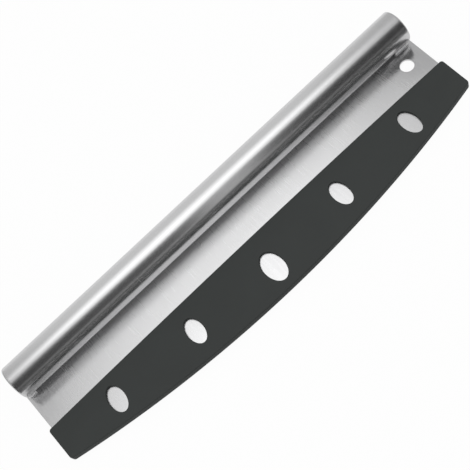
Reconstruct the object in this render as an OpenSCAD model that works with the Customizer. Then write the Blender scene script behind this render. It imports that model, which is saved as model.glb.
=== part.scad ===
// Rocking pizza knife with a slip-on blade guard, lying on its back.
// X runs along the knife, Y from the cutting edge to the handle, Z out of the front face.

/* [Handle] */
// Outer diameter of the handle tube
handle_d = 25.4; // [22:0.1:32]
// Length of the handle over both end caps
handle_len = 350; // [280:1:420]
// Wall of the handle tube
tube_wall = 1.2; // [0.8:0.1:1.4]
// Thickness of an end cap's disc
cap_t = 2; // [1.5:0.1:4]
// Radius of the ground edge round an end cap
cap_round = 1.2; // [0.4:0.1:1.4]
// Depth of an end cap's skirt inside the tube
skirt_depth = 6; // [3:0.5:12]
// Wall of an end cap's skirt
skirt_wall = 1.2; // [0.8:0.1:2]
// Gap between an end cap's skirt and the tube
skirt_gap = 0.05; // [0.02:0.01:0.15]

/* [Blade] */
// Thickness of the blade sheet
blade_t = 1.5; // [1.5:0.1:2.5]
// How far the blade reaches past the handle at each end
blade_overhang = 1.9; // [0:0.1:6]
// Distance from the handle's axis to the deepest point of the edge
blade_depth = 79.3; // [72:0.1:100]
// Radius of the curved cutting edge
edge_radius = 870; // [700:1:1500]
// Inward lean of the blade's two sides, in degrees
side_lean = 2.5; // [0:0.1:5]
// Radius at the blade's lower corners
blade_corner_r = 4; // [3:0.1:6]
// Width of the ground bevel along the edge
bevel_w = 4; // [2:0.1:8]
// Thickness left at the cutting edge
edge_land = 0.2; // [0.1:0.05:0.5]
// Diameter of the hanging hole
hang_d = 9.9; // [6:0.1:11]
// Distance from the blade's side to the centre of the hanging hole
hang_inset = 15.1; // [10:0.1:30]
// Distance from the handle's axis to the centre of the hanging hole
hang_drop = 21.4; // [20.5:0.1:26]

/* [Seam welds] */
// How far a weld bead reaches out of the corner between tube and blade
bead_leg = 4.6; // [2:0.1:6]
// Length of the bead at the left end
left_bead_len = 4.5; // [3:0.5:15]
// Length of the bead at the right end
right_bead_len = 10; // [3:0.5:15]

/* [Guard] */
// Thickness of the guard's front and back walls
guard_wall = 1.8; // [1.2:0.1:3]
// Thickness of the guard's end walls and floor
guard_rim = 1.8; // [1.2:0.1:2.2]
// Gap between the blade's faces and the guard's walls
face_gap = 0.25; // [0.15:0.05:0.6]
// Gap between the cutting edge and the guard's floor
edge_gap = 0.3; // [0.2:0.05:0.8]
// Gap between the blade's sides and the guard's end walls
side_gap = 0.5; // [0.3:0.05:1]
// Distance from the handle's axis to the middle of the guard's mouth
mouth_drop = 35.7; // [33:0.1:42]
// How much higher the mouth stands in the middle than at its ends
mouth_crown = 1.7; // [0.5:0.1:4]
// Radius at the guard's upper corners
upper_corner_r = 2; // [1.5:0.1:6]
// Radius at the guard's lower corners
lower_corner_r = 2.5; // [2.3:0.1:9]
// Rounding of the guard's outer edges
guard_round = 0.8; // [0.3:0.1:1.2]

/* [Windows] */
// Height of the middle window
mid_window_h = 24.3; // [14:0.1:26]
// Width of the middle window
mid_window_w = 14.6; // [8:0.1:20]
// Height of the other windows
window_h = 20.7; // [12:0.1:22]
// Width of the other windows
window_w = 11.8; // [8:0.1:18]

/* [Hidden] */
$fn = 96;

steel = [0.78, 0.78, 0.79];
weld_steel = [0.68, 0.68, 0.69];
guard_black = [0.22, 0.23, 0.23];

// Facets round the whole circle of the cutting edge
edge_facets = 720;
// Points along one long curve, round one corner and round one window
curve_points = 28;
corner_points = 8;
window_points = 56;
// Steps in the rounding of the guard's outer edges
round_steps = 3;
// Length by which a cutting tool runs past the surface that it cuts
overrun = 5;

// Where the windows sit, as shares of the guard's length and of its height at each one
window_place_shares = [-0.3645, -0.181, 0, 0.181, 0.3645];
window_rise_shares = [0.486, 0.496, 0.408, 0.496, 0.486];
// How deep the blade's corner circle lies in its round edge, as a share of its radius
corner_reach_share = 0.97;

handle_r = handle_d / 2;
tube_len = handle_len - 2 * cap_t;
lean_slope = tan(side_lean);
blade_half = handle_len / 2 + blade_overhang;
// Heights measured from the handle's axis
blade_back_z = -handle_r;
blade_front_z = blade_back_z + blade_t;
edge_centre_y = edge_radius - blade_depth;

guard_back_z = blade_back_z - face_gap - guard_wall;
guard_t = blade_t + 2 * (face_gap + guard_wall);
floor_radius = edge_radius + edge_gap + guard_rim;
guard_bottom = blade_depth + edge_gap + guard_rim;
guard_half = blade_half + (side_gap + guard_rim) / cos(side_lean);
mouth_half = side_x(guard_half, -mouth_drop);
crown_radius = (pow(mouth_half, 2) + pow(mouth_crown, 2)) / (2 * mouth_crown);
crown_centre_y = -mouth_drop - crown_radius;

// Place of the handle's axis over the middle of the whole knife's footprint
axis_y = (guard_bottom - handle_r) / 2;
axis_z = -guard_back_z;

// Half-length between two leaning sides at height y, from their half-length at the axis
function side_x(half, y) = half + y * lean_slope;

// Points of an arc round a centre
function arc(centre, r, from, to, n) = [
    for (i = [0 : n])
        let (a = from + (to - from) * i / n)
        [centre[0] + r * cos(a), centre[1] + r * sin(a)]
];

// Centre of a corner circle that touches a leaning side from inside and whose centre
// lies at a given reach from a far centre on the Y axis, on the far side of it
function corner_centre(half, r, far_y, reach, way) =
    let (
        x0 = half - r / cos(side_lean),
        a = 1 + pow(lean_slope, 2),
        b = 2 * (x0 * lean_slope - far_y),
        c = pow(x0, 2) + pow(far_y, 2) - pow(reach, 2),
        y = (-b + way * sqrt(pow(b, 2) - 4 * a * c)) / (2 * a)
    )
    [side_x(x0, y), y];

function flipped(points) = [for (i = [len(points) - 1 : -1 : 0]) [-points[i][0], points[i][1]]];

lower_corner = corner_centre(guard_half, lower_corner_r, edge_centre_y, floor_radius - lower_corner_r, -1);
upper_corner = corner_centre(guard_half, upper_corner_r, crown_centre_y, crown_radius - upper_corner_r, 1);
lower_angle = atan2(lower_corner[1] - edge_centre_y, lower_corner[0]);
upper_angle = atan2(upper_corner[1] - crown_centre_y, upper_corner[0]);

// Lower right corner of the guard, moved inwards by inset
function lower_right(inset) =
    arc(lower_corner, lower_corner_r - inset, lower_angle, -side_lean, corner_points);

// Upper right corner of the guard, moved inwards by inset
function upper_right(inset) =
    arc(upper_corner, upper_corner_r - inset, -side_lean, upper_angle, corner_points);

// Curved floor line of the guard, from left to right
function floor_line(inset) =
    arc([0, edge_centre_y], floor_radius - inset, -180 - lower_angle, lower_angle, curve_points);

// Crowned line of the guard's mouth, from right to left
function mouth_line(inset) =
    arc([0, crown_centre_y], crown_radius - inset, upper_angle, 180 - upper_angle, curve_points);

function guard_outline(inset) = concat(
    floor_line(inset), lower_right(inset), upper_right(inset),
    mouth_line(inset), flipped(upper_right(inset)), flipped(lower_right(inset))
);

function oval(w, h) = [
    for (i = [0 : window_points - 1])
        let (a = 360 * i / window_points)
        [w / 2 * cos(a), h / 2 * sin(a)]
];

function floor_y(x) = edge_centre_y - sqrt(pow(floor_radius, 2) - pow(x, 2));
function mouth_y(x) = crown_centre_y + sqrt(pow(crown_radius, 2) - pow(x, 2));

// Moves what is drawn about the handle's axis to its place over the ground
module on_axis() {
    translate([0, axis_y, axis_z]) children();
}

// Turns a shape drawn along Z so that it runs along X
module along_x() {
    rotate([0, 90, 0]) children();
}

// Room that the blade's upper edge takes out of the tube and the end caps
module blade_seat() {
    seat_len = handle_len + 2 * overrun;
    translate([-seat_len / 2, -handle_r - overrun, blade_back_z - overrun])
        cube([seat_len, handle_r + overrun, blade_t + overrun]);
}

// Flat sheet before its curved edge is ground
module blade_sheet() {
    corner = corner_centre(
        blade_half, blade_corner_r, edge_centre_y, edge_radius - corner_reach_share * blade_corner_r, -1
    );
    turn = atan2(corner[1] - edge_centre_y, corner[0]);
    side = arc(corner, blade_corner_r, turn, -side_lean, corner_points);
    low = -blade_depth - overrun;
    points = concat(
        [[side[0][0], low]], side, [[blade_half, 0]],
        [[-blade_half, 0]], flipped(side), [[-side[0][0], low]]
    );
    translate([0, 0, blade_back_z]) linear_extrude(blade_t) polygon(points);
}

// Round plate whose bevelled rim is the cutting edge
module edge_plate() {
    middle = blade_back_z + blade_t / 2;
    translate([0, edge_centre_y, 0]) rotate_extrude($fn = edge_facets) polygon([
        [0, blade_back_z],
        [edge_radius - bevel_w, blade_back_z],
        [edge_radius, middle - edge_land / 2],
        [edge_radius, middle + edge_land / 2],
        [edge_radius - bevel_w, blade_front_z],
        [0, blade_front_z]
    ]);
}

module blade() {
    hang_x = side_x(blade_half, -hang_drop) - hang_inset;
    color(steel) on_axis() difference() {
        intersection() {
            blade_sheet();
            edge_plate();
        }
        translate([hang_x, -hang_drop, blade_back_z - overrun])
            cylinder(h = blade_t + 2 * overrun, d = hang_d);
    }
}

module handle_tube() {
    color(steel) on_axis() difference() {
        along_x() cylinder(h = tube_len, r = handle_r, center = true);
        along_x() cylinder(h = tube_len + 2 * overrun, r = handle_r - tube_wall, center = true);
        blade_seat();
    }
}

// Cross-section of an end cap from its axis outwards
module cap_profile() {
    skirt_r = handle_r - tube_wall - skirt_gap;
    square([handle_r - cap_round, cap_t]);
    square([handle_r, cap_t - cap_round]);
    translate([handle_r - cap_round, cap_t - cap_round]) intersection() {
        circle(cap_round);
        square(cap_round);
    }
    translate([skirt_r - skirt_wall, -skirt_depth]) square([skirt_wall, skirt_depth]);
}

// End cap at the right end of the tube
module end_cap() {
    on_axis() difference() {
        translate([tube_len / 2, 0, 0]) along_x() rotate_extrude() cap_profile();
        blade_seat();
    }
}

module left_end_cap() {
    color(steel) mirror([1, 0, 0]) end_cap();
}

module right_end_cap() {
    color(steel) end_cap();
}

// Weld bead in the corner between tube and blade, inwards from the tube's right end
module seam_weld(bead_len) {
    root_y = -sqrt(pow(handle_r, 2) - pow(blade_front_z, 2));
    on_axis() translate([tube_len / 2 - bead_len, 0, 0]) rotate([90, 0, 90])
        linear_extrude(bead_len) difference() {
            translate([root_y, blade_front_z]) circle(bead_leg);
            circle(handle_r);
            translate([-handle_d, -handle_d]) square([handle_d, handle_d + blade_front_z]);
        }
}

module left_seam_weld() {
    color(weld_steel) mirror([1, 0, 0]) seam_weld(left_bead_len);
}

module right_seam_weld() {
    color(weld_steel) seam_weld(right_bead_len);
}

// Outer form of the guard, with rounded edges
module guard_body() {
    hull() {
        for (i = [0 : round_steps]) {
            a = 90 * i / round_steps;
            sunk = guard_round * (1 - cos(a));
            translate([0, 0, guard_back_z + sunk])
                linear_extrude(guard_t - 2 * sunk)
                    polygon(guard_outline(guard_round * (1 - sin(a))));
        }
    }
}

// Slot that takes the blade, open at the mouth
module guard_slot() {
    slot_half = blade_half + side_gap / cos(side_lean);
    low = lower_right(guard_rim);
    top = -mouth_drop + overrun;
    points = concat(
        floor_line(guard_rim), low, [[side_x(slot_half, top), top]],
        [[-side_x(slot_half, top), top]], flipped(low)
    );
    translate([0, 0, blade_back_z - face_gap])
        linear_extrude(blade_t + 2 * face_gap) polygon(points);
}

// Five oval windows through both walls
module guard_windows() {
    count = len(window_rise_shares);
    middle = (count - 1) / 2;
    for (i = [0 : count - 1]) {
        x = window_place_shares[i] * 2 * guard_half;
        y = floor_y(x) + window_rise_shares[i] * (mouth_y(x) - floor_y(x));
        w = i == middle ? mid_window_w : window_w;
        h = i == middle ? mid_window_h : window_h;
        translate([x, y, guard_back_z - overrun])
            linear_extrude(guard_t + 2 * overrun) polygon(oval(w, h));
    }
}

module blade_guard() {
    color(guard_black) on_axis() difference() {
        guard_body();
        guard_slot();
        guard_windows();
    }
}

blade();
handle_tube();
left_end_cap();
right_end_cap();
left_seam_weld();
right_seam_weld();
blade_guard();
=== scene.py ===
# %% [markdown]
# # Rocking pizza knife with its blade guard
# The real object is a curved blade of sheet steel under a round tube handle, with a plastic
# guard slid over the edge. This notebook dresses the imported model: it keeps every size of
# the frame and rebuilds the visible skins finely enough for reflections to run cleanly.

# %% Load the fixed frame
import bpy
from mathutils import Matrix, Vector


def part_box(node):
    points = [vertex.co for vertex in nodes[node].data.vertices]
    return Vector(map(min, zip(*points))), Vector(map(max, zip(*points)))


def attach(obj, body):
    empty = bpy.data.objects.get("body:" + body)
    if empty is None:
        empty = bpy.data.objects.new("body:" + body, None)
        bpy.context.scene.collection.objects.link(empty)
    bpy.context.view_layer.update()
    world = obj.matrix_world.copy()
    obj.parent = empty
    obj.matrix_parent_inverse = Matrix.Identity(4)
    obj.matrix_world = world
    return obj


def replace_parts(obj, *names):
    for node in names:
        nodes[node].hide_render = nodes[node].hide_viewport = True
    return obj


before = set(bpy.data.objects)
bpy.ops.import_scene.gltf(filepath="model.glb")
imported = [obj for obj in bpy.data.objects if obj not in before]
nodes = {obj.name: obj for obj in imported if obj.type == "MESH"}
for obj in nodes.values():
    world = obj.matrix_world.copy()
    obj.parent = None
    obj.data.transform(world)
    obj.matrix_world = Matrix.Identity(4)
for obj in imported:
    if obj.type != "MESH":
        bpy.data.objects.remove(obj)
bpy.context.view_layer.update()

# %% [markdown]
# The other modules come next. Sizes are written in millimetres, as on a drawing, and MM
# turns them into metres where a mesh is made.

# %% Modules and units
import math
from functools import partial

import bmesh
import bpy
from mathutils import Matrix, Vector

MM = 0.001
scene = bpy.context.scene

# %% [markdown]
# ## Sizes taken from the frame
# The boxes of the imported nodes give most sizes, so nothing has to be fitted by eye. Only
# what a box can't tell is written as a number: radii, the lean of the sides and the place of
# the mouth. They have the same values and names as in the part's source.

# %% Sizes from the boxes
def size_mm(node):
    """Lowest and highest corner of a node in millimetres."""
    low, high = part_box(node)
    return [c / MM for c in low], [c / MM for c in high]


tube_low, tube_high = size_mm("handle_tube")
blade_low, blade_high = size_mm("blade")
guard_low, guard_high = size_mm("blade_guard")
cap_high = size_mm("right_end_cap")[1]

TUBE_R = (tube_high[2] - tube_low[2]) / 2
AXIS_Y = (tube_high[1] + tube_low[1]) / 2
AXIS_Z = tube_high[2] - TUBE_R
TUBE_HALF = tube_high[0]
HANDLE_HALF = cap_high[0]
BLADE_T = blade_high[2] - blade_low[2]
BLADE_HALF = blade_high[0]
BLADE_FRONT_Z = blade_high[2]
GUARD_T = guard_high[2] - guard_low[2]
GUARD_MID_Z = (guard_high[2] + guard_low[2]) / 2
GUARD_BOTTOM = AXIS_Y - guard_low[1]
print("tube radius %.2f, axis at y %.2f, z %.2f" % (TUBE_R, AXIS_Y, AXIS_Z))
print("blade %.2f thick, guard %.2f thick" % (BLADE_T, GUARD_T))

# %% Sizes of tube, caps and beads that the boxes don't tell
TUBE_WALL = 1.2
CAP_ROUND = 1.2
LEFT_BEAD_LEN = 4.5
RIGHT_BEAD_LEN = 10.0
print("tube wall and cap rounding %.1f and %.1f" % (TUBE_WALL, CAP_ROUND))

# %% Sizes of the guard that the boxes don't tell
SIDE_LEAN = math.radians(2.5)
GUARD_WALL = 1.8
GUARD_RIM = 1.8
SIDE_GAP = 0.5
MOUTH_DROP = 35.7
MOUTH_CROWN = 1.7
UPPER_CORNER_R = 2.0
LOWER_CORNER_R = 2.5
GUARD_ROUND = 0.8
FLOOR_RADIUS = 872.1
WINDOW_PLACES = (-0.3645, -0.181, 0.0, 0.181, 0.3645)
WINDOW_RISES = (0.486, 0.496, 0.408, 0.496, 0.486)
WINDOW_SIZES = ((11.8, 20.7), (11.8, 20.7), (14.6, 24.3), (11.8, 20.7), (11.8, 20.7))
print("guard walls %.1f, with %d windows" % (GUARD_WALL, len(WINDOW_PLACES)))

# %% [markdown]
# ## Small helpers
# A piece is made from plain lists of corners and faces. Its object stays at the origin and
# its place is in the mesh, as the frame's own pieces are. Smooth shading is cut wherever two
# faces meet at more than a given angle, which keeps flat faces flat in the reflections.

# %% Making a piece from a mesh
SHARP_ANGLE = 35.0


def finish_mesh(name, mesh, sharp=SHARP_ANGLE):
    """Turns all faces outwards, shades them smooth up to an angle and links the object."""
    bm = bmesh.new()
    bm.from_mesh(mesh)
    bmesh.ops.recalc_face_normals(bm, faces=bm.faces)
    bm.to_mesh(mesh)
    bm.free()
    mesh.shade_smooth()
    mesh.set_sharp_from_angle(angle=math.radians(sharp))
    piece = bpy.data.objects.new(name, mesh)
    scene.collection.objects.link(piece)
    return piece


def mesh_piece(name, corners, faces):
    """Makes an object from corners in millimetres and faces."""
    mesh = bpy.data.meshes.new(name)
    mesh.from_pydata([Vector(c) * MM for c in corners], [], faces)
    return finish_mesh(name, mesh)


print("shading stays smooth up to", SHARP_ANGLE, "degrees")

# %% Finishing and measuring a piece
def applied(piece):
    """Applies every modifier of a piece by taking its evaluated mesh."""
    graph = bpy.context.evaluated_depsgraph_get()
    mesh = bpy.data.meshes.new_from_object(piece.evaluated_get(graph))
    piece.modifiers.clear()
    piece.data = mesh
    return piece


def report(piece):
    """Prints how many faces a piece has and whether its skin is closed."""
    bm = bmesh.new()
    bm.from_mesh(piece.data)
    open_edges = sum(1 for e in bm.edges if len(e.link_faces) != 2)
    print("%s: %d faces, %d open edges, volume %.1f mm3" % (
        piece.name, len(bm.faces), open_edges, bm.calc_volume(signed=True) / MM ** 3))
    bm.free()


print("mesh helpers:", [helper.__name__ for helper in (applied, report)])

# %% [markdown]
# ## Camera
# The photograph looks down on the knife from the side of its cutting edge, and the frame is
# turned so that the knife lies along the picture's diagonal. Distance and lens belong
# together: they were solved from the outline, so near and far ends shrink as in the picture.
# The place is in metres, and the two directions are the picture's right and its up.

# %% Camera
CAMERA_AT = Vector((-0.042502, -0.283950, 0.531548))
CAMERA_RIGHT = Vector((0.726784, -0.622343, -0.290645))
CAMERA_UP = Vector((0.683767, 0.615388, 0.392123))

camera_data = bpy.data.cameras.new("camera")
camera_data.sensor_width = 36.0
camera_data.lens = 69.86
camera_data.clip_start = 0.01
camera = bpy.data.objects.new("camera", camera_data)
camera_axes = Matrix((CAMERA_RIGHT, CAMERA_UP, CAMERA_RIGHT.cross(CAMERA_UP))).transposed()
camera.matrix_world = Matrix.Translation(CAMERA_AT) @ camera_axes.to_4x4()
scene.collection.objects.link(camera)
scene.camera = camera
print("camera %.0f mm above the floor" % (CAMERA_AT.z / MM))

# %% [markdown]
# ## Node helpers
# Every finish is a node tree. These helpers keep the trees short: one adds a node and sets
# its inputs, one starts a material, and one starts a node group with named sockets.

# %% Helpers for nodes
def add_node(tree, kind, links=None, **settings):
    """Adds a node, sets its properties and feeds its inputs with values or sockets."""
    new = tree.nodes.new(kind)
    for key, value in settings.items():
        setattr(new, key, value)
    for key, value in (links or {}).items():
        if isinstance(value, bpy.types.NodeSocket):
            tree.links.new(value, new.inputs[key])
        else:
            new.inputs[key].default_value = value
    return new


def math_node(tree, operation, a, b=0.0, c=0.0):
    """A Math node's output for the given inputs."""
    return add_node(tree, "ShaderNodeMath", {0: a, 1: b, 2: c}, operation=operation).outputs[0]


def spread(tree, value, low, high):
    """Maps a value from 0 to 1 onto low to high."""
    return add_node(tree, "ShaderNodeMapRange", {
        "Value": value, "To Min": low, "To Max": high}).outputs["Result"]


def tint(tree, factor, dark, light):
    """A colour between dark and light."""
    mix = add_node(tree, "ShaderNodeMix", {0: factor}, data_type="RGBA")
    for socket, colour in zip([s for s in mix.inputs if s.type == "RGBA"], (dark, light)):
        socket.default_value = (*colour, 1.0)
    return [s for s in mix.outputs if s.type == "RGBA"][0]


print("colours are mixed by", tint.__name__)

# %% Helpers for materials and node groups
def material(name):
    """An empty material and its node tree."""
    made = bpy.data.materials.new(name)
    made.use_nodes = True
    made.node_tree.nodes.clear()
    return made, made.node_tree


def group_tree(name, inputs, outputs):
    """A shader node group with named float or vector inputs and float outputs."""
    tree = bpy.data.node_groups.new(name, "ShaderNodeTree")
    for label, kind in inputs:
        tree.interface.new_socket(label, in_out="INPUT", socket_type=kind)
    for label in outputs:
        tree.interface.new_socket(label, in_out="OUTPUT", socket_type="NodeSocketFloat")
    return tree, tree.nodes.new("NodeGroupInput"), tree.nodes.new("NodeGroupOutput")


print("helpers:", material.__name__, "and", group_tree.__name__)

# %% [markdown]
# ## Brushing and handling marks
# The steel is brushed across the knife, so fine lines run from handle to edge. A Wave texture
# would draw them too evenly. A noise that is dense along X and slow along Y and Z draws them
# on flat and round pieces alike, and needs no UV map. A second group gives the cloudy marks
# that hands and washing leave on any surface. Both are groups, because several finishes use
# them with values of their own.

# %% Shared effects
FLOAT, VECTOR = "NodeSocketFloat", "NodeSocketVector"
FINE_FACTOR = 3.1
SPECKS_PER_MARK = 22.0
SPECK_CORE, SPECK_RIM = 0.04, 0.16

brushing, taken, given = group_tree(
    "brushing", [("Vector", VECTOR), ("Lines per metre", FLOAT), ("Stretch", FLOAT)],
    ["Lines", "Fine lines"])
for label, factor in (("Lines", 1.0), ("Fine lines", FINE_FACTOR)):
    dense = math_node(brushing, "MULTIPLY", taken.outputs["Lines per metre"], factor)
    slow = math_node(brushing, "DIVIDE", dense, taken.outputs["Stretch"])
    scale = add_node(brushing, "ShaderNodeCombineXYZ", {"X": dense, "Y": slow, "Z": slow})
    place = add_node(brushing, "ShaderNodeVectorMath", {
        0: taken.outputs["Vector"], 1: scale.outputs[0]}, operation="MULTIPLY")
    noise = add_node(brushing, "ShaderNodeTexNoise", {
        "Vector": place.outputs[0], "Scale": 1.0, "Detail": 3.0, "Roughness": 0.6})
    brushing.links.new(noise.outputs["Fac"], given.inputs[label])

handling, taken, given = group_tree(
    "handling_marks", [("Vector", VECTOR), ("Marks per metre", FLOAT)], ["Clouds", "Specks"])
clouds = add_node(handling, "ShaderNodeTexNoise", {
    "Vector": taken.outputs["Vector"], "Scale": taken.outputs["Marks per metre"],
    "Detail": 4.0, "Roughness": 0.55, "Distortion": 0.6})
handling.links.new(clouds.outputs["Fac"], given.inputs["Clouds"])
dots = add_node(handling, "ShaderNodeTexVoronoi", {
    "Vector": taken.outputs["Vector"], "Scale": math_node(
        handling, "MULTIPLY", taken.outputs["Marks per metre"], SPECKS_PER_MARK)})
speck = add_node(handling, "ShaderNodeMapRange", {
    "Value": dots.outputs["Distance"], "From Min": SPECK_CORE, "From Max": SPECK_RIM,
    "To Min": 1.0, "To Max": 0.0})
handling.links.new(speck.outputs["Result"], given.inputs["Specks"])
print("shared effects:", brushing.name, "and", handling.name)

# %% [markdown]
# ## Steel
# Blade, tube, caps and welds are the same stainless steel with different grinding. The tube
# is nearly polished, so its bands of light keep their edges. The blade is duller and shows
# only a soft gradient. Round its two welds it was ground smooth again, the right one more than
# the left, so there the tube's end mirrors in it. Weld metal is paler and hardly mirrors at
# all, so part of it is matte. One function makes all four, so they stay one family, and only
# its values tell how each was ground.

# %% The zone that was ground round the welds
GROUND_CORE, GROUND_RIM = 14.0, 38.0


def ramp(tree, value, start, stop):
    """Rises smoothly from 0 to 1 while a value in millimetres goes from start to stop."""
    return add_node(tree, "ShaderNodeMapRange", {
        "Value": value, "From Min": start * MM, "From Max": stop * MM},
        interpolation_type="SMOOTHSTEP").outputs["Result"]


def ground_zone(tree, where):
    """A mask that is 1 round the right weld, a half round the left one and 0 elsewhere."""
    spot = add_node(tree, "ShaderNodeSeparateXYZ", {0: where}).outputs
    beside = add_node(tree, "ShaderNodeCombineXYZ", {
        "X": math_node(tree, "ABSOLUTE", spot["X"]), "Y": spot["Y"]})
    weld = (TUBE_HALF * MM, (AXIS_Y - TUBE_R) * MM, 0.0)
    far = add_node(tree, "ShaderNodeVectorMath", {
        0: beside.outputs[0], 1: weld}, operation="DISTANCE").outputs["Value"]
    near = ramp(tree, far, GROUND_RIM, GROUND_CORE)
    return math_node(tree, "MULTIPLY", near, ramp(tree, spot["X"], -2 * TUBE_HALF, 0.0))


print("ground within %.0f mm of a weld" % GROUND_RIM)

# %% Steel finishes
STEEL_MARKS_PER_METRE = 24.0
CLOUD_ROUGHNESS = 0.03
STEEL_GRAIN_DEPTH = 0.02


def steel(name, shade, roughness, lines_per_metre, stretch, streak, uneven, bump,
          metal=1.0, polish=0.0):
    """A stainless steel finish brushed across the knife."""
    made, tree = material(name)
    where = add_node(tree, "ShaderNodeTexCoord").outputs["Object"]
    lines = add_node(tree, "ShaderNodeGroup", node_tree=brushing)
    tree.links.new(where, lines.inputs["Vector"])
    lines.inputs["Lines per metre"].default_value = lines_per_metre
    lines.inputs["Stretch"].default_value = stretch
    marks = add_node(tree, "ShaderNodeGroup", node_tree=handling)
    tree.links.new(where, marks.inputs["Vector"])
    marks.inputs["Marks per metre"].default_value = STEEL_MARKS_PER_METRE

    both = math_node(tree, "MULTIPLY_ADD", lines.outputs["Fine lines"], 0.5, math_node(
        tree, "MULTIPLY", lines.outputs["Lines"], 0.5))
    colour = tint(tree, both, [c * (1 - streak) for c in shade], [c * (1 + streak) for c in shade])
    brushed = spread(tree, both, roughness - uneven, roughness + uneven)
    rough = math_node(tree, "ADD", brushed, spread(
        tree, marks.outputs["Clouds"], -CLOUD_ROUGHNESS, CLOUD_ROUGHNESS))
    if polish:
        rough = math_node(tree, "SUBTRACT", rough, math_node(
            tree, "MULTIPLY", ground_zone(tree, where), polish))
    height = add_node(tree, "ShaderNodeBump", {
        "Strength": bump, "Distance": STEEL_GRAIN_DEPTH * MM, "Height": both})
    shader = add_node(tree, "ShaderNodeBsdfPrincipled", {
        "Base Color": colour, "Metallic": metal, "Roughness": rough,
        "Normal": height.outputs[0]})
    output = add_node(tree, "ShaderNodeOutputMaterial")
    tree.links.new(shader.outputs[0], output.inputs[0])
    return made


STEEL = (0.66, 0.66, 0.665)
WELD_METAL = (0.76, 0.76, 0.765)

blade_steel = steel(
    "blade_finish", STEEL, roughness=0.30, lines_per_metre=1100.0, stretch=30.0,
    streak=0.045, uneven=0.16, bump=0.12, polish=0.14)
handle_steel = steel(
    "handle_finish", STEEL, roughness=0.25, lines_per_metre=1300.0, stretch=60.0,
    streak=0.03, uneven=0.05, bump=0.06)
cap_steel = steel(
    "cap_finish", STEEL, roughness=0.27, lines_per_metre=1300.0, stretch=60.0,
    streak=0.03, uneven=0.05, bump=0.06)
weld_steel = steel(
    "weld_finish", WELD_METAL, roughness=0.34, lines_per_metre=700.0, stretch=8.0,
    streak=0.03, uneven=0.06, bump=0.1, metal=0.35)
print("steel finishes:", [m.name for m in (blade_steel, handle_steel, cap_steel, weld_steel)])

# %% [markdown]
# ## Guard plastic
# The guard is moulded in charcoal plastic with a fine matte grain. Modelled grain would cost
# far too many faces, so a small bump breaks the gloss instead, and faint clouds keep a large
# dark face from looking like one flat colour.

# %% Guard plastic
PLASTIC_MARKS_PER_METRE = 30.0
GRAINS_PER_METRE = 3500.0
GRAIN_DEPTH = 0.05
CHARCOAL_DARK = (0.0350, 0.0385, 0.0372)
CHARCOAL_LIGHT = (0.0440, 0.0485, 0.0470)


def matte_plastic(name, dark, light):
    """A matte moulded plastic with a fine grain."""
    made, tree = material(name)
    where = add_node(tree, "ShaderNodeTexCoord").outputs["Object"]
    marks = add_node(tree, "ShaderNodeGroup", node_tree=handling)
    tree.links.new(where, marks.inputs["Vector"])
    marks.inputs["Marks per metre"].default_value = PLASTIC_MARKS_PER_METRE
    grain = add_node(tree, "ShaderNodeTexNoise", {
        "Vector": where, "Scale": GRAINS_PER_METRE, "Detail": 2.0, "Roughness": 0.5})
    colour = tint(tree, marks.outputs["Clouds"], dark, light)
    rough = spread(tree, marks.outputs["Clouds"], 0.56, 0.66)
    height = math_node(tree, "MULTIPLY_ADD", marks.outputs["Specks"], 0.15, grain.outputs["Fac"])
    bump = add_node(tree, "ShaderNodeBump", {
        "Strength": 0.25, "Distance": GRAIN_DEPTH * MM, "Height": height})
    shader = add_node(tree, "ShaderNodeBsdfPrincipled", {
        "Base Color": colour, "Roughness": rough, "Specular IOR Level": 0.2,
        "Normal": bump.outputs[0]})
    output = add_node(tree, "ShaderNodeOutputMaterial")
    tree.links.new(shader.outputs[0], output.inputs[0])
    return made


guard_plastic = matte_plastic("guard_finish", CHARCOAL_DARK, CHARCOAL_LIGHT)
print("plastic finish:", guard_plastic.name)

# %% [markdown]
# ## Handle tube
# A steel tube is a flat strip rolled round an axis, so the piece is made the same way. A
# cylinder would have to be cut open for the blade first. A Geometry Nodes tree takes a grid
# and rolls each row of it to its angle instead, and stops where the blade's upper edge fills
# the round. Solidify then gives the strip its wall.

# %% Helpers for Geometry Nodes
def geometry_tree(name, inputs):
    """A Geometry Nodes tree with named number inputs and one geometry output."""
    tree = bpy.data.node_groups.new(name, "GeometryNodeTree")
    keys = {}
    for label, kind, value in inputs:
        socket = tree.interface.new_socket(label, in_out="INPUT", socket_type=kind)
        if value is not None:
            socket.default_value = value
        keys[label] = socket.identifier
    tree.interface.new_socket("Geometry", in_out="OUTPUT", socket_type="NodeSocketGeometry")
    return tree, keys, tree.nodes.new("NodeGroupInput"), tree.nodes.new("NodeGroupOutput")


def end_tree(tree, geometry, taken, given):
    """Ends a tree in Realize Instances and Set Material."""
    real = add_node(tree, "GeometryNodeRealizeInstances", {0: geometry})
    dressed = add_node(tree, "GeometryNodeSetMaterial", {
        "Geometry": real.outputs[0], "Material": taken.outputs["Material"]})
    tree.links.new(dressed.outputs[0], given.inputs[0])


def grown(name, tree, keys, values):
    """A piece grown by a tree, with its inputs set by their identifiers."""
    piece = bpy.data.objects.new(name, bpy.data.meshes.new(name))
    scene.collection.objects.link(piece)
    modifier = piece.modifiers.new("grow", "NODES")
    modifier.node_group = tree
    for label, value in values.items():
        modifier[keys[label]] = value
    return piece


print("helpers:", [helper.__name__ for helper in (geometry_tree, end_tree, grown)])

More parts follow.
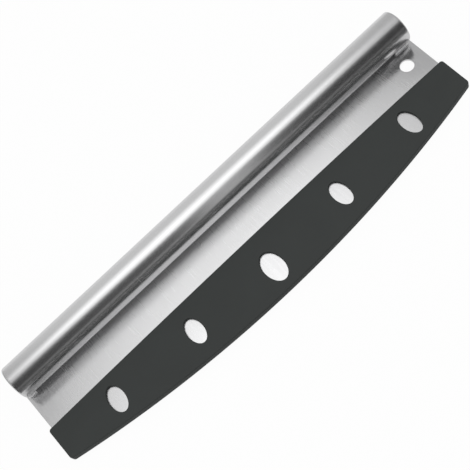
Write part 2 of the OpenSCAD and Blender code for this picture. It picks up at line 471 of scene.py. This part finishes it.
# %% Rolling a strip with Geometry Nodes
roll, roll_keys, taken, given = geometry_tree("rolled_strip", [
    ("Length", FLOAT, 0.3), ("Radius", FLOAT, 0.01), ("Start angle", FLOAT, 0.0),
    ("Sweep", FLOAT, 6.0), ("Axis Y", FLOAT, 0.0), ("Axis Z", FLOAT, 0.0),
    ("Columns", "NodeSocketInt", 41), ("Rows", "NodeSocketInt", 200),
    ("Material", "NodeSocketMaterial", None)])
strip = add_node(roll, "GeometryNodeMeshGrid", {
    "Size X": taken.outputs["Length"], "Size Y": 1.0,
    "Vertices X": taken.outputs["Columns"], "Vertices Y": taken.outputs["Rows"]})
spot = add_node(roll, "ShaderNodeSeparateXYZ", {0: add_node(
    roll, "GeometryNodeInputPosition").outputs[0]})
share = math_node(roll, "ADD", spot.outputs["Y"], 0.5)
angle = math_node(
    roll, "MULTIPLY_ADD", share, taken.outputs["Sweep"], taken.outputs["Start angle"])
y = math_node(roll, "MULTIPLY_ADD", math_node(roll, "COSINE", angle),
              taken.outputs["Radius"], taken.outputs["Axis Y"])
z = math_node(roll, "MULTIPLY_ADD", math_node(roll, "SINE", angle),
              taken.outputs["Radius"], taken.outputs["Axis Z"])
rolled_to = add_node(roll, "ShaderNodeCombineXYZ", {"X": spot.outputs["X"], "Y": y, "Z": z})
rolled = add_node(roll, "GeometryNodeSetPosition", {
    "Geometry": strip.outputs["Mesh"], "Position": rolled_to.outputs[0]})
end_tree(roll, rolled.outputs[0], taken, given)
print("tree", roll.name, "with inputs", list(roll_keys))

# %% Handle tube
TUBE_COLUMNS, TUBE_ROWS = 41, 241

seat_depth = BLADE_FRONT_Z - AXIS_Z
seat_y = -math.sqrt(TUBE_R ** 2 - seat_depth ** 2)
seat_angle = math.atan2(seat_depth, seat_y) + 2 * math.pi
start_angle = -math.pi / 2
sweep = seat_angle - start_angle

tube = grown("handle_tube_skin", roll, roll_keys, {
    "Length": 2 * TUBE_HALF * MM, "Radius": TUBE_R * MM, "Start angle": start_angle,
    "Sweep": sweep, "Axis Y": AXIS_Y * MM, "Axis Z": AXIS_Z * MM,
    "Columns": TUBE_COLUMNS, "Rows": TUBE_ROWS, "Material": handle_steel})
wall = tube.modifiers.new("wall", "SOLIDIFY")
wall.thickness = TUBE_WALL * MM
wall.offset = 1.0
wall.use_even_offset = True
applied(tube)
radii = [math.hypot(v.co.y / MM - AXIS_Y, v.co.z / MM - AXIS_Z) for v in tube.data.vertices]
print("tube radii from %.2f to %.2f" % (min(radii), max(radii)))

# %% [markdown]
# The blade stands 1.5 mm into the round at the tube's back, so the strip ends at two edges
# that touch it. Solidify may grow either way, so the printed radii say whether the wall went
# inwards.

# %% Dress the tube
tube.data.shade_smooth()
tube.data.set_sharp_from_angle(angle=math.radians(SHARP_ANGLE))
report(tube)
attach(tube, "knife")
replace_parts(tube, "handle_tube")

# %% [markdown]
# ## End caps
# Each cap is a disc with a ground edge that closes the tube. It could be a lathe shape, but a
# corner of it is cut away where the blade's upper edge runs past. So it is made from rings
# of the same outline, each a little smaller and further out, and one flat face closes it.

# %% Outline and rings of a cap
CAP_POINTS = 160
CAP_STEPS = 8
CAP_FACE_INSET = 0.4


def cap_outline(radius):
    """Outline of a cap round the axis, with the corner that the blade takes."""
    angles = [start_angle + sweep * i / CAP_POINTS for i in range(CAP_POINTS + 1)]
    return [(radius * math.cos(a), radius * math.sin(a)) for a in angles] + [(0.0, seat_depth)]


cap_rings = [(TUBE_HALF, TUBE_R), (HANDLE_HALF - CAP_ROUND, TUBE_R)]
for step in range(1, CAP_STEPS + 1):
    turn = math.pi / 2 * step / CAP_STEPS
    cap_rings.append((HANDLE_HALF - CAP_ROUND * (1 - math.sin(turn)),
                      TUBE_R - CAP_ROUND * (1 - math.cos(turn))))
cap_rings.append((HANDLE_HALF, TUBE_R - CAP_ROUND - CAP_FACE_INSET))
print("a cap has", len(cap_rings), "rings of", len(cap_outline(TUBE_R)), "points")

# %% End caps
def end_cap(name, way):
    """A cap at the end of the tube: way is 1 for the right end and -1 for the left."""
    corners, faces = [], []
    for x, radius in cap_rings:
        corners += [(way * x, AXIS_Y + y, AXIS_Z + z) for y, z in cap_outline(radius)]
    n = len(cap_outline(TUBE_R))
    for k in range(len(cap_rings) - 1):
        for i in range(n):
            j = (i + 1) % n
            faces.append((k * n + i, k * n + j, (k + 1) * n + j, (k + 1) * n + i))
    faces.append(tuple(range(n)))
    faces.append(tuple(range((len(cap_rings) - 1) * n, len(cap_rings) * n)))
    piece = mesh_piece(name, corners, faces)
    piece.data.materials.append(cap_steel)
    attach(piece, "knife")
    report(piece)
    return piece


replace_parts(end_cap("right_cap_skin", 1), "right_end_cap")
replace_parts(end_cap("left_cap_skin", -1), "left_end_cap")

# %% [markdown]
# ## Blade
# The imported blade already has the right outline, bevel and hole. Real sheet has no edge as
# sharp as a line, though: a hair of rounding catches the light along its sides. A copy of
# the node has its doubles merged and flat triangles joined, and a Bevel modifier does the rest.

# %% Blade
MERGE_DISTANCE = 0.002
FLAT_ANGLE = 0.3
BLADE_SHARP_ANGLE = 30.0
BLADE_ROUND = 0.15
ROUNDED_FROM_ANGLE = 40.0


def merged_copy(node, name):
    """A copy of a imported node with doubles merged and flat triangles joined."""
    mesh = nodes[node].data.copy()
    bm = bmesh.new()
    bm.from_mesh(mesh)
    bmesh.ops.remove_doubles(bm, verts=bm.verts, dist=MERGE_DISTANCE * MM)
    bmesh.ops.dissolve_limit(
        bm, angle_limit=math.radians(FLAT_ANGLE), verts=bm.verts, edges=bm.edges)
    bm.to_mesh(mesh)
    bm.free()
    return finish_mesh(name, mesh, BLADE_SHARP_ANGLE)


blade = merged_copy("blade", "blade_skin")
rounding = blade.modifiers.new("rounding", "BEVEL")
rounding.width = BLADE_ROUND * MM
rounding.segments = 2
rounding.limit_method = "ANGLE"
rounding.angle_limit = math.radians(ROUNDED_FROM_ANGLE)
rounding.harden_normals = True
applied(blade)
blade.data.materials.clear()
blade.data.materials.append(blade_steel)
report(blade)
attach(blade, "knife")
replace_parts(blade, "blade")

# %% [markdown]
# ## Weld beads
# At both ends of the seam a short bead of weld fills the corner between tube and blade. A
# bead is a row of small puddles that froze one after another, so a tree sets round drops
# along a line, each a bit different and thinner towards the middle of the knife. Balls that
# only overlap would keep faces inside, so a volume melts them into one closed skin. It sinks
# into both pieces, and doesn't reach the back.

# %% Weld beads with Geometry Nodes
bead, bead_keys, taken, given = geometry_tree("weld_bead", [
    ("Start", VECTOR, None), ("Step", VECTOR, None), ("Drops", "NodeSocketInt", 5),
    ("Drop radius", FLOAT, 0.001), ("Smallest", FLOAT, 0.95), ("Largest", FLOAT, 1.03),
    ("Taper", FLOAT, 0.7), ("Voxel", FLOAT, 0.0002),
    ("Seed", "NodeSocketInt", 3), ("Material", "NodeSocketMaterial", None)])
line = add_node(bead, "GeometryNodeMeshLine", {
    "Count": taken.outputs["Drops"], "Start Location": taken.outputs["Start"],
    "Offset": taken.outputs["Step"]}, mode="OFFSET")
vary = add_node(bead, "FunctionNodeRandomValue", {
    2: taken.outputs["Smallest"], 3: taken.outputs["Largest"],
    "Seed": taken.outputs["Seed"]}, data_type="FLOAT")
place = add_node(bead, "GeometryNodeInputIndex").outputs[0]
thinner = add_node(bead, "ShaderNodeMapRange", {
    "Value": place, "From Max": taken.outputs["Drops"],
    "To Min": 1.0, "To Max": taken.outputs["Taper"]}).outputs["Result"]
radius = math_node(bead, "MULTIPLY", taken.outputs["Drop radius"], math_node(
    bead, "MULTIPLY", thinner, [s for s in vary.outputs if s.enabled][0]))
drops = add_node(bead, "GeometryNodeMeshToPoints", {"Mesh": line.outputs[0], "Radius": radius})
melted = add_node(bead, "GeometryNodePointsToVolume", {
    "Points": drops.outputs[0], "Density": 1.0, "Radius": radius,
    "Voxel Size": taken.outputs["Voxel"]}, resolution_mode="VOXEL_SIZE")
skin = add_node(bead, "GeometryNodeVolumeToMesh", {
    "Volume": melted.outputs[0], "Threshold": 0.5, "Adaptivity": 0.0}, resolution_mode="GRID")
smooth = add_node(bead, "GeometryNodeSetShadeSmooth", {"Geometry": skin.outputs[0]})
end_tree(bead, smooth.outputs[0], taken, given)
print("tree", bead.name, "with inputs", list(bead_keys))

# %% Both beads
DROP_PITCH = 0.45
DROP_R = 1.3
DROP_SMALLEST, DROP_LARGEST = 0.95, 1.03
DROP_TAPER = 0.8
DROP_Y, DROP_Z = -9.0, -10.4
VOXEL = 0.12
LEFT_REACH, RIGHT_REACH = 0.8, -0.6
LEFT_SEED, RIGHT_SEED = 5, 9


def weld_bead(name, way, reach, length, seed):
    """A bead that runs inwards, its first drop's centre at a reach past the tube's end."""
    piece = grown(name, bead, bead_keys, {
        "Start": (way * (TUBE_HALF + reach) * MM, (AXIS_Y + DROP_Y) * MM, (AXIS_Z + DROP_Z) * MM),
        "Step": (-way * DROP_PITCH * MM, 0.0, 0.0), "Drops": round(length / DROP_PITCH),
        "Drop radius": DROP_R * MM, "Smallest": DROP_SMALLEST, "Largest": DROP_LARGEST,
        "Taper": DROP_TAPER, "Voxel": VOXEL * MM, "Seed": seed, "Material": weld_steel})
    applied(piece)
    report(piece)
    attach(piece, "knife")
    return piece


left_bead = weld_bead("left_bead_skin", -1, LEFT_REACH, LEFT_BEAD_LEN, LEFT_SEED)
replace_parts(left_bead, "left_seam_weld")
right_bead = weld_bead("right_bead_skin", 1, RIGHT_REACH, RIGHT_BEAD_LEN, RIGHT_SEED)
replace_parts(right_bead, "right_seam_weld")

# %% [markdown]
# ## Guard outline
# The guard's outline is the same rule as in the part's source: a round floor, leaning ends, a
# crowned mouth and four corner arcs. Each function gives the same number of points for any
# inset, so outlines of different insets can be joined point by point into a rounded edge.

# %% Outline of the guard
LEAN = math.tan(SIDE_LEAN)
SLOT_HALF = BLADE_HALF + SIDE_GAP / math.cos(SIDE_LEAN)
GUARD_HALF = SLOT_HALF + GUARD_RIM / math.cos(SIDE_LEAN)
EDGE_CENTRE_Y = FLOOR_RADIUS - GUARD_BOTTOM
MOUTH_HALF = GUARD_HALF - MOUTH_DROP * LEAN
CROWN_RADIUS = (MOUTH_HALF ** 2 + MOUTH_CROWN ** 2) / (2 * MOUTH_CROWN)
CROWN_CENTRE_Y = -MOUTH_DROP - CROWN_RADIUS


def corner_centre(radius, far_y, reach, way):
    """Centre of a corner arc that touches the leaning side and a round far edge."""
    x0 = GUARD_HALF - radius / math.cos(SIDE_LEAN)
    a = 1 + LEAN ** 2
    b = 2 * (x0 * LEAN - far_y)
    c = x0 ** 2 + far_y ** 2 - reach ** 2
    cy = (-b + way * math.sqrt(b * b - 4 * a * c)) / (2 * a)
    return x0 + cy * LEAN, cy


def arc(centre, radius, start, stop, count):
    """Points on an arc, its last point left out."""
    return [(centre[0] + radius * math.cos(start + (stop - start) * i / count),
             centre[1] + radius * math.sin(start + (stop - start) * i / count))
            for i in range(count)]


LOWER = corner_centre(LOWER_CORNER_R, EDGE_CENTRE_Y, FLOOR_RADIUS - LOWER_CORNER_R, -1)
UPPER = corner_centre(UPPER_CORNER_R, CROWN_CENTRE_Y, CROWN_RADIUS - UPPER_CORNER_R, 1)
lower_angle = math.atan2(LOWER[1] - EDGE_CENTRE_Y, LOWER[0])
upper_angle = math.atan2(UPPER[1] - CROWN_CENTRE_Y, UPPER[0])
print("corner centres", [round(v, 2) for v in LOWER + UPPER])

# %% [markdown]
# The blade's slot is as wide as the blade, so it cuts the two upper corner arcs. There the
# end walls stop and the front and back walls part. The arcs are split at that point, and the
# two numbers at the end say where it is in the list of points.

# %% Outline points for any inset
slot_angle = math.acos(1 - GUARD_RIM / UPPER_CORNER_R) - SIDE_LEAN
FLOOR_STEPS, ARC_STEPS, MOUTH_STEPS = 96, 12, 72
BEFORE_SLOT, AFTER_SLOT = 9, 5


def floor_line(inset):
    """The guard's round floor, from left to right."""
    return arc((0, EDGE_CENTRE_Y), FLOOR_RADIUS - inset,
               -math.pi - lower_angle, lower_angle, FLOOR_STEPS)


def lower_right(inset):
    """Lower corner arc of the right end, with its last point."""
    radius = LOWER_CORNER_R - inset
    return arc(LOWER, radius, lower_angle, -SIDE_LEAN, ARC_STEPS) + [
        (LOWER[0] + radius * math.cos(SIDE_LEAN), LOWER[1] - radius * math.sin(SIDE_LEAN))]


def right_side(inset):
    """Lower and upper corner arcs of the right end."""
    return (lower_right(inset)
            + arc(UPPER, UPPER_CORNER_R - inset, -SIDE_LEAN, slot_angle, BEFORE_SLOT)
            + arc(UPPER, UPPER_CORNER_R - inset, slot_angle, upper_angle, AFTER_SLOT))


def outline(inset):
    """The guard's outline, anticlockwise from the floor's left end."""
    mouth = arc((0, CROWN_CENTRE_Y), CROWN_RADIUS - inset,
                upper_angle, math.pi - upper_angle, MOUTH_STEPS)
    turn = [(-mouth[0][0], mouth[0][1])]
    left = [(-x, y) for x, y in reversed(right_side(inset))]
    return floor_line(inset) + right_side(inset) + mouth + turn + left[:-1]


SLOT_RIGHT = FLOOR_STEPS + ARC_STEPS + 1 + BEFORE_SLOT
SLOT_LEFT = SLOT_RIGHT + 2 * AFTER_SLOT + MOUTH_STEPS
print("outline of", len(outline(0)), "points, slot from", SLOT_RIGHT, "to", SLOT_LEFT)

# %% [markdown]
# ## Guard
# The guard is one moulding, hollow like a sheath. Booleans could cut slot and windows out of a
# block, but they leave ragged faces that no rounding runs along. So its skin is built ring by
# ring, in two halves that mirror each other: outer face, rounded edges, window walls and the
# slot's inner face. Then the end walls, the floor and the slot's own rim join them. The
# windows repeat one oval at five places.

# %% Loops of the windows and the slot
WINDOW_POINTS = 72


def mouth_y(x):
    return CROWN_CENTRE_Y + math.sqrt(CROWN_RADIUS ** 2 - x * x)


def floor_y(x):
    return EDGE_CENTRE_Y - math.sqrt(FLOOR_RADIUS ** 2 - x * x)


def oval(index, outset):
    """One window's outline, grown by an outset."""
    x = WINDOW_PLACES[index] * 2 * GUARD_HALF
    y = floor_y(x) + WINDOW_RISES[index] * (mouth_y(x) - floor_y(x))
    w, h = WINDOW_SIZES[index]
    return [(x + (w / 2 + outset) * math.cos(2 * math.pi * i / WINDOW_POINTS),
             y + (h / 2 + outset) * math.sin(2 * math.pi * i / WINDOW_POINTS))
            for i in range(WINDOW_POINTS)]


def slot_line():
    """The slot's rim, from its left mouth corner round the floor to its right one."""
    low = lower_right(GUARD_RIM)
    return [(-x, y) for x, y in reversed(low)] + floor_line(GUARD_RIM)[1:] + low


print("windows at x", [round(place * 2 * GUARD_HALF, 1) for place in WINDOW_PLACES])

# %% Rings, walls and flat faces
def ring(bm, points, z):
    """Corners along a loop, at a height over the guard's middle plane."""
    return [bm.verts.new((x * MM, (AXIS_Y + y) * MM, (GUARD_MID_Z + z) * MM)) for x, y in points]


def join(bm, first, second, closed=True):
    """Quads between two loops of the same length."""
    count = len(first) if closed else len(first) - 1
    for i in range(count):
        j = (i + 1) % len(first)
        bm.faces.new((first[i], first[j], second[j], second[i]))


def fill(bm, loops):
    """Fills a flat region between an outer loop and the holes in it."""
    edges = []
    for loop in loops:
        for i, vert in enumerate(loop):
            other = loop[(i + 1) % len(loop)]
            edges.append(bm.edges.get((vert, other)) or bm.edges.new((vert, other)))
    bmesh.ops.triangle_fill(bm, use_beauty=True, use_dissolve=False, edges=edges)


print("guard helpers:", [helper.__name__ for helper in (ring, join, fill)])

# %% One half of the guard
WINDOW_ROUND = 0.45
ROUND_STEPS = 6
FACE_MARGIN, WINDOW_MARGIN = 0.4, 0.3
TOP_Z = GUARD_T / 2
SLOT_Z = TOP_Z - GUARD_WALL


def rounded_rings(bm, loop, radius, margin, way):
    """Rings from the flat face over a rounded edge: loop gives the points for an inset."""
    turns = [math.pi / 2 * i / ROUND_STEPS for i in range(ROUND_STEPS + 1)]
    return [ring(bm, loop(radius + margin), way * TOP_Z)] + [
        ring(bm, loop(radius * (1 - math.sin(a))), way * (TOP_Z - radius * (1 - math.cos(a))))
        for a in turns]


def guard_half(bm, way):
    """Outer face, rounding, window walls and inner face of one half."""
    skin = rounded_rings(bm, outline, GUARD_ROUND, FACE_MARGIN, way)
    for first, second in zip(skin, skin[1:]):
        join(bm, first, second)
    outer_holes, inner_holes = [], []
    for index in range(len(WINDOW_PLACES)):
        wall = rounded_rings(bm, partial(oval, index), WINDOW_ROUND, WINDOW_MARGIN, way)
        wall.append(ring(bm, oval(index, 0.0), way * SLOT_Z))
        for first, second in zip(wall, wall[1:]):
            join(bm, first, second)
        outer_holes.append(wall[0])
        inner_holes.append(wall[-1])
    fill(bm, [skin[0]] + outer_holes)
    lip = ring(bm, outline(0.0)[SLOT_RIGHT:SLOT_LEFT + 1], way * SLOT_Z)
    join(bm, skin[-1][SLOT_RIGHT:SLOT_LEFT + 1], lip, closed=False)
    inner = ring(bm, slot_line(), way * SLOT_Z)
    fill(bm, [inner + lip] + inner_holes)
    return skin[-1], lip, inner


print("slot's inner faces at %.2f from the middle" % SLOT_Z)

# %% Both halves, joined by end walls and rim
GUARD_SHARP_ANGLE = 32.0

bm = bmesh.new()
front_skin, front_lip, front_inner = guard_half(bm, 1)
back_skin, back_lip, back_inner = guard_half(bm, -1)
count = len(front_skin)
for i in range(count):
    if SLOT_RIGHT <= i < SLOT_LEFT:
        continue
    j = (i + 1) % count
    face = [front_skin[i], front_skin[j], back_skin[j], back_skin[i]]
    if j == SLOT_RIGHT:
        face[2:2] = [front_lip[0], back_lip[0]]
    if i == SLOT_LEFT:
        face += [back_lip[-1], front_lip[-1]]
    bm.faces.new(face)
rim_front = [front_lip[-1]] + front_inner + [front_lip[0]]
rim_back = [back_lip[-1]] + back_inner + [back_lip[0]]
join(bm, rim_front, rim_back, closed=False)
guard_mesh = bpy.data.meshes.new("blade_guard_skin")
bm.to_mesh(guard_mesh)
bm.free()

guard = finish_mesh("blade_guard_skin", guard_mesh, GUARD_SHARP_ANGLE)
guard.data.materials.append(guard_plastic)
report(guard)
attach(guard, "guard")
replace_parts(guard, "blade_guard")

# %% [markdown]
# ## Floor and light
# The photograph has a pure white ground. The floor is a plain pale sheet that also shows
# white to the camera and to the steel, and it still keeps a faint shadow. Steel shows its
# surroundings, so the studio matters as much as the lamps: soft boxes above, dark screens on
# the camera's side for the dark band along the tube, and a pale card in front of them.

# %% Floor finish
WHITE = (1.0, 1.0, 1.0, 1.0)
PALE = (0.86, 0.86, 0.86, 1.0)
SHOWN_WHITE, MIRRORED_WHITE = 0.95, 0.5

floor_material, tree = material("pale_floor")
path = add_node(tree, "ShaderNodeLightPath").outputs
matte = add_node(tree, "ShaderNodeBsdfDiffuse", {"Color": PALE})
white = add_node(tree, "ShaderNodeEmission", {"Color": WHITE, "Strength": 1.0})
shown = math_node(tree, "MULTIPLY", path["Is Camera Ray"], SHOWN_WHITE)
mirrored = math_node(tree, "MULTIPLY", math_node(
    tree, "MAXIMUM", path["Is Glossy Ray"], path["Is Transmission Ray"]), MIRRORED_WHITE)
mix = add_node(tree, "ShaderNodeMixShader", {
    0: math_node(tree, "MAXIMUM", shown, mirrored), 1: matte.outputs[0], 2: white.outputs[0]})
output = add_node(tree, "ShaderNodeOutputMaterial")
tree.links.new(mix.outputs[0], output.inputs[0])
print("floor shows", SHOWN_WHITE, "of white to the camera,", MIRRORED_WHITE, "to steel")

# %% Floor sheet and room
FLOOR_HALF = 2500
ROOM_LEVEL, SHOWN_LEVEL = 0.8, 1.0

floor_sheet = mesh_piece("floor", [
    (-FLOOR_HALF, -FLOOR_HALF, 0), (FLOOR_HALF, -FLOOR_HALF, 0),
    (FLOOR_HALF, FLOOR_HALF, 0), (-FLOOR_HALF, FLOOR_HALF, 0)], [(0, 1, 2, 3)])
floor_sheet.data.materials.append(floor_material)

world = bpy.data.worlds.new("studio")
scene.world = world
world.use_nodes = True
tree = world.node_tree
tree.nodes.clear()
path = add_node(tree, "ShaderNodeLightPath").outputs
room = add_node(tree, "ShaderNodeBackground", {"Color": WHITE, "Strength": ROOM_LEVEL})
behind = add_node(tree, "ShaderNodeBackground", {"Color": WHITE, "Strength": SHOWN_LEVEL})
mix = add_node(tree, "ShaderNodeMixShader", {
    0: path["Is Camera Ray"], 1: room.outputs[0], 2: behind.outputs[0]})
output = add_node(tree, "ShaderNodeOutputWorld")
tree.links.new(mix.outputs[0], output.inputs[0])
print("room lit at", ROOM_LEVEL)

# %% [markdown]
# The lamps and screens stand on an arc round the knife. Their angle is measured from the
# floor behind the handle, up over the knife and down to the camera's side. Two soft boxes
# stand nearly over the knife, a wide dim one and a narrow one inside it. Together they give
# the tube a highlight with soft flanks, and as they are oval, it gets narrower to its ends.

# %% Soft boxes
BOX_DISTANCE = 1100


def round_the_knife(x, degrees, distance):
    """A point at an angle over the knife, at a distance from the handle's axis."""
    a = math.radians(degrees)
    y = AXIS_Y + distance * math.cos(a)
    z = AXIS_Z + distance * math.sin(a)
    return Vector((x * MM, y * MM, z * MM))


def soft_box(name, x, degrees, length, spread_deg, level):
    """An oval lamp of a level brightness that covers spread_deg of the arc."""
    lamp = bpy.data.lights.new(name, "AREA")
    lamp.shape = "ELLIPSE"
    lamp.size = length * MM
    lamp.size_y = 2 * BOX_DISTANCE * MM * math.tan(math.radians(spread_deg / 2))
    lamp.energy = level * math.pi * lamp.size * lamp.size_y * math.pi / 4
    made = bpy.data.objects.new(name, lamp)
    made.location = round_the_knife(x, degrees, BOX_DISTANCE)
    aim = round_the_knife(x, degrees, 0) - made.location
    made.rotation_euler = aim.to_track_quat("-Z", "Y").to_euler()
    made.visible_camera = False
    scene.collection.objects.link(made)
    print("%s: %.2f W" % (name, lamp.energy))


soft_box("wide_box", x=20, degrees=81, length=860, spread_deg=54, level=0.48)
soft_box("narrow_box", x=10, degrees=82, length=800, spread_deg=24, level=0.42)

# %% [markdown]
# The screens are seen by the steel alone. Their first reflection draws the dark band on the
# tube. In a second reflection they are a bit brighter than the white room behind them, so
# tube and blade light each other along the seam. A third one is much weaker, and later ones
# are dark, which leaves a thin dark line in the corner itself. All levels fade to the knife's
# ends, where the photograph's corner is dark too, and upright screens dim the tube's ends.

# %% Greys of the screens
FADE_START, FADE_END = 260, 460
END_SHARE = 0.5
# For the second and third reflection: its number, the level at the ends and in the middle
LATER_LEVELS = ((2.0, 0.09, 1.15), (3.0, 0.08, 0.44))


def glowing(name, strength=1.0):
    """A grey that glows by itself, its tree and the socket for its strength."""
    grey, tree = material(name)
    glow = add_node(tree, "ShaderNodeEmission", {"Color": WHITE, "Strength": strength})
    output = add_node(tree, "ShaderNodeOutputMaterial")
    tree.links.new(glow.outputs[0], output.inputs[0])
    return grey, tree, glow.inputs["Strength"]


def screen_grey(name, level):
    """A grey for a screen, which fades to the ends and glows anew in later reflections."""
    grey, tree, strength = glowing(name)
    depth = add_node(tree, "ShaderNodeLightPath").outputs["Ray Depth"]
    where = add_node(tree, "ShaderNodeSeparateXYZ", {
        0: add_node(tree, "ShaderNodeTexCoord").outputs["Object"]}).outputs["X"]
    near = add_node(tree, "ShaderNodeMapRange", {
        "Value": math_node(tree, "ABSOLUTE", where),
        "From Min": FADE_START * MM, "From Max": FADE_END * MM,
        "To Min": 1.0, "To Max": 0.0}).outputs["Result"]
    glow = spread(tree, near, END_SHARE * level, level)
    for reflection, far, middle in LATER_LEVELS:
        seen = math_node(tree, "COMPARE", depth, reflection, 0.5)
        glow = add_node(tree, "ShaderNodeMix", {
            0: seen, 2: glow, 3: spread(tree, near, far, middle)}).outputs[0]
    tree.links.new(glow, strength)
    return grey


half_dark = screen_grey("screen_half_dark", 0.26)
dark = screen_grey("screen_dark", 0.1)
dim = screen_grey("screen_dim", 0.36)
card = screen_grey("screen_card", 0.64)
side = glowing("screen_side", 0.55)[0]
print("greys:", [grey.name for grey in (half_dark, dark, dim, card, side)])

# %% Screens
SCREEN_DISTANCE, CARD_DISTANCE = 1200, 320
SCREEN_ENDS, CARD_ENDS = (-1500, 1500), (7, 84)
SIDE_Y, SIDE_Z = (-180, 1200), (2, 1300)
LEFT_SIDE_X, RIGHT_SIDE_X = -430, 560
FLOOR_SCREEN_Y, FLOOR_SCREEN_Z = (-1150, -52), 1
BENDS = 16


def screen(name, corners, grey):
    """A sheet, given as pairs of points along its two sides, that only steel can see."""
    faces = [(i, i + 1, i + 3, i + 2) for i in range(0, len(corners) - 2, 2)]
    sheet = mesh_piece(name, corners, faces)
    sheet.data.materials.append(grey)
    sheet.visible_camera = False
    sheet.visible_diffuse = False
    sheet.visible_shadow = False


def bent(ends, start, stop, distance):
    """Corners of a sheet that is bent round the knife from one angle to another."""
    return [round_the_knife(x, start + (stop - start) * i / BENDS, distance) / MM
            for i in range(BENDS + 1) for x in ends]


for name, start, stop, grey in (
        ("upper_screen", 106, 117, half_dark), ("high_screen", 117, 156, dark),
        ("dim_strip", 156, 165, dim), ("low_screen", 165, 179.4, dark)):
    screen(name, bent(SCREEN_ENDS, start, stop, SCREEN_DISTANCE), grey)
screen("floor_screen", [(x, y, FLOOR_SCREEN_Z) for y in FLOOR_SCREEN_Y for x in SCREEN_ENDS], dark)
screen("pale_card", bent(CARD_ENDS, 108, 160, CARD_DISTANCE), card)
screen("side_screen", [(RIGHT_SIDE_X, y, z) for y in SIDE_Y for z in SIDE_Z], side)
screen("left_side_screen", [(LEFT_SIDE_X, y, z) for y in SIDE_Y for z in SIDE_Z], side)
print("screens stand")

# %% [markdown]
# ## View
# With the Standard view a colour renders as it is written.

# %% Colours as written
scene.view_settings.view_transform = "Standard"
print("view transform:", scene.view_settings.view_transform)
